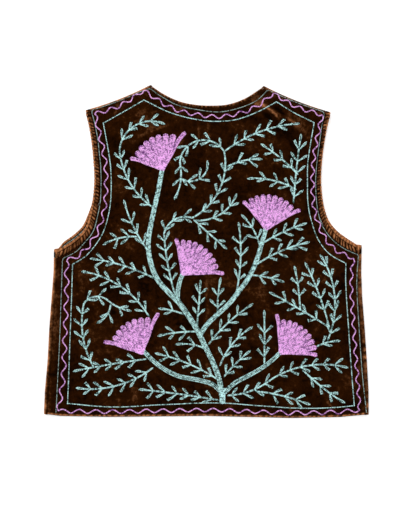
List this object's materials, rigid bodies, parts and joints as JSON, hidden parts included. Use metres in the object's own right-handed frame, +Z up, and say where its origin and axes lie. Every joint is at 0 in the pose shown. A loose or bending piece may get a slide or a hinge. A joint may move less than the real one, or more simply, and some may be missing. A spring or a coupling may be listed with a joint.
{
  "type": "embroidered waistcoat",
  "caption": "Sleeveless boxy velvet waistcoat laid flat with its back up, chain-stitched with fan flowers, leafy sprigs and a waved border.",
  "frame": {"origin": "middle of the garment's box, on the surface that it lies on", "axes": "+Y from the hem to the neck, +X to the right as the back is seen from above, +Z up from the surface"},
  "size_m": [0.534, 0.547, 0.0089],
  "materials": {
    "velvet": "crushed pile",
    "armhole_band": "gathered, worn pile",
    "neck_binding": "turned and topstitched",
    "green_yarn": "chain stitch",
    "lilac_yarn": "chain stitch"
  },
  "bodies": {
    "root": {"back": "velvet", "front_left": "velvet", "front_right": "velvet", "armhole_band_back_left": "armhole_band", "armhole_band_back_right": "armhole_band", "armhole_band_front_left": "armhole_band", "armhole_band_front_right": "armhole_band", "neck_binding_back": "neck_binding", "neck_binding_front_left": "neck_binding", "neck_binding_front_right": "neck_binding"}
  },
  "joints": []
}
